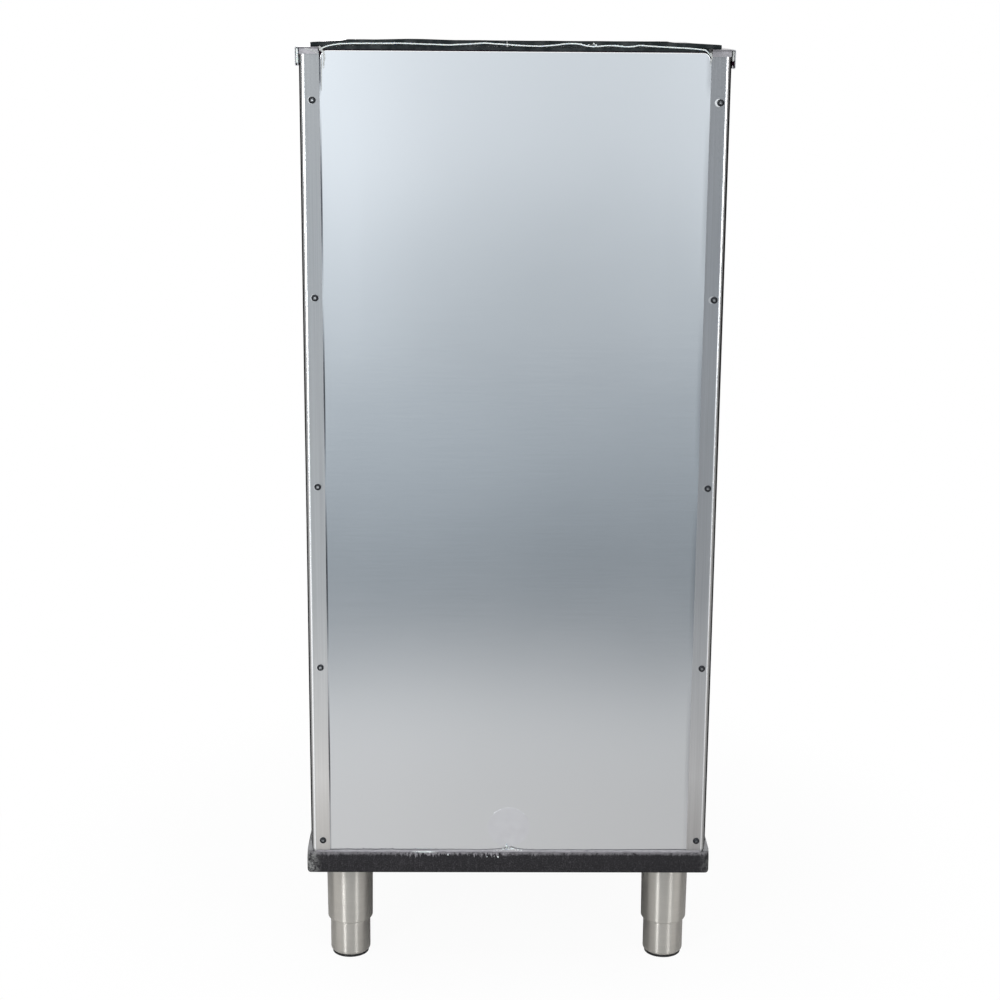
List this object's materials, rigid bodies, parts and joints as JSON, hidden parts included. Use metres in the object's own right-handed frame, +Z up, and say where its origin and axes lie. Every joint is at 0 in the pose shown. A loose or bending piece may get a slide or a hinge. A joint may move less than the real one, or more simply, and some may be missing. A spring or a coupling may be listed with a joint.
{
  "type": "ice storage bin",
  "caption": "Tall insulated ice storage bin on adjustable legs, with an open top for an ice machine, a sloped lift-up front door, an ice baffle and a floor drain.",
  "frame": {"origin": "on the floor, below the centre of the outline seen from above", "axes": "+Z up, +Y towards the back panel, the sloped door and its handle face -Y"},
  "size_m": [0.56, 0.8462, 1.2807],
  "materials": {
    "polyurethane_foam": "matte",
    "galvanised_steel": "satin",
    "stainless_steel": "satin",
    "brushed_leg_steel": "satin",
    "steel_hardware": "satin",
    "white_polyethylene": "satin",
    "white_adhesive": "satin",
    "grey_sealant": "matte",
    "black_foam_tape": "matte",
    "black_rubber": "matte",
    "blackened_screws": "satin",
    "black_base_moulding": "matte",
    "black_plastic": "satin",
    "charcoal_door_plastic": "satin"
  },
  "bodies": {
    "cabinet": {"back_panel": "galvanised_steel", "side_panel_left": "stainless_steel", "side_panel_right": "stainless_steel", "front_panel": "stainless_steel", "top_front_trim": "stainless_steel", "top_trim_left": "stainless_steel", "top_trim_right": "stainless_steel", "liner": "white_polyethylene", "insulation": "polyurethane_foam", "base": "black_base_moulding", "leg_sockets": "steel_hardware", "leg_rear_left": "brushed_leg_steel", "leg_rear_right": "brushed_leg_steel", "leg_front_left": "brushed_leg_steel", "leg_front_right": "brushed_leg_steel", "leg_guides": "steel_hardware", "rear_seal_lower": "black_foam_tape", "rear_seal_left": "black_foam_tape", "rear_seal_right": "black_foam_tape", "rear_bead": "white_adhesive", "base_sealant": "grey_sealant", "side_seal_left": "black_foam_tape", "side_seal_right": "black_foam_tape", "front_seal": "black_foam_tape", "rear_screws": "blackened_screws", "fill_cover": "galvanised_steel", "bezel": "black_plastic", "bezel_screws": "blackened_screws", "hinge_brackets": "steel_hardware", "hinge_pins": "steel_hardware", "hinge_screws": "blackened_screws", "baffle_pins": "steel_hardware", "drain_fitting": "black_plastic", "drain_washer": "black_rubber", "drain_nut": "black_plastic", "drain_strainer": "steel_hardware"},
    "door": {"door_shell": "charcoal_door_plastic", "door_liner": "white_polyethylene", "door_foam": "polyurethane_foam", "door_gasket": "black_rubber", "door_handle": "black_plastic", "handle_screws": "steel_hardware", "hinge_bushes": "white_polyethylene"},
    "baffle_panel": {"baffle": "white_polyethylene"},
    "foot_rear_left_body": {"foot_rear_left": "brushed_leg_steel", "pad_rear_left": "black_rubber"},
    "foot_rear_right_body": {"foot_rear_right": "brushed_leg_steel", "pad_rear_right": "black_rubber"},
    "foot_front_left_body": {"foot_front_left": "brushed_leg_steel", "pad_front_left": "black_rubber"},
    "foot_front_right_body": {"foot_front_right": "brushed_leg_steel", "pad_front_right": "black_rubber"}
  },
  "joints": [
    {"name": "door_hinge", "type": "hinge", "parent": "cabinet", "child": "door", "pos_m": [0, -0.2428, 1.16386], "axis": [-1, 0, 0], "range_deg": [0, 110]},
    {"name": "baffle_swing", "type": "hinge", "parent": "cabinet", "child": "baffle_panel", "pos_m": [0, -0.10895, 1.178], "axis": [1, 0, 0], "range_deg": [-8, 70]},
    {"name": "foot_rear_left_screw", "type": "slide", "parent": "cabinet", "child": "foot_rear_left_body", "axis": [0, 0, -1], "range_m": [0, 0.025]},
    {"name": "foot_rear_right_screw", "type": "slide", "parent": "cabinet", "child": "foot_rear_right_body", "axis": [0, 0, -1], "range_m": [0, 0.025]},
    {"name": "foot_front_left_screw", "type": "slide", "parent": "cabinet", "child": "foot_front_left_body", "axis": [0, 0, -1], "range_m": [0, 0.025]},
    {"name": "foot_front_right_screw", "type": "slide", "parent": "cabinet", "child": "foot_front_right_body", "axis": [0, 0, -1], "range_m": [0, 0.025]}
  ]
}
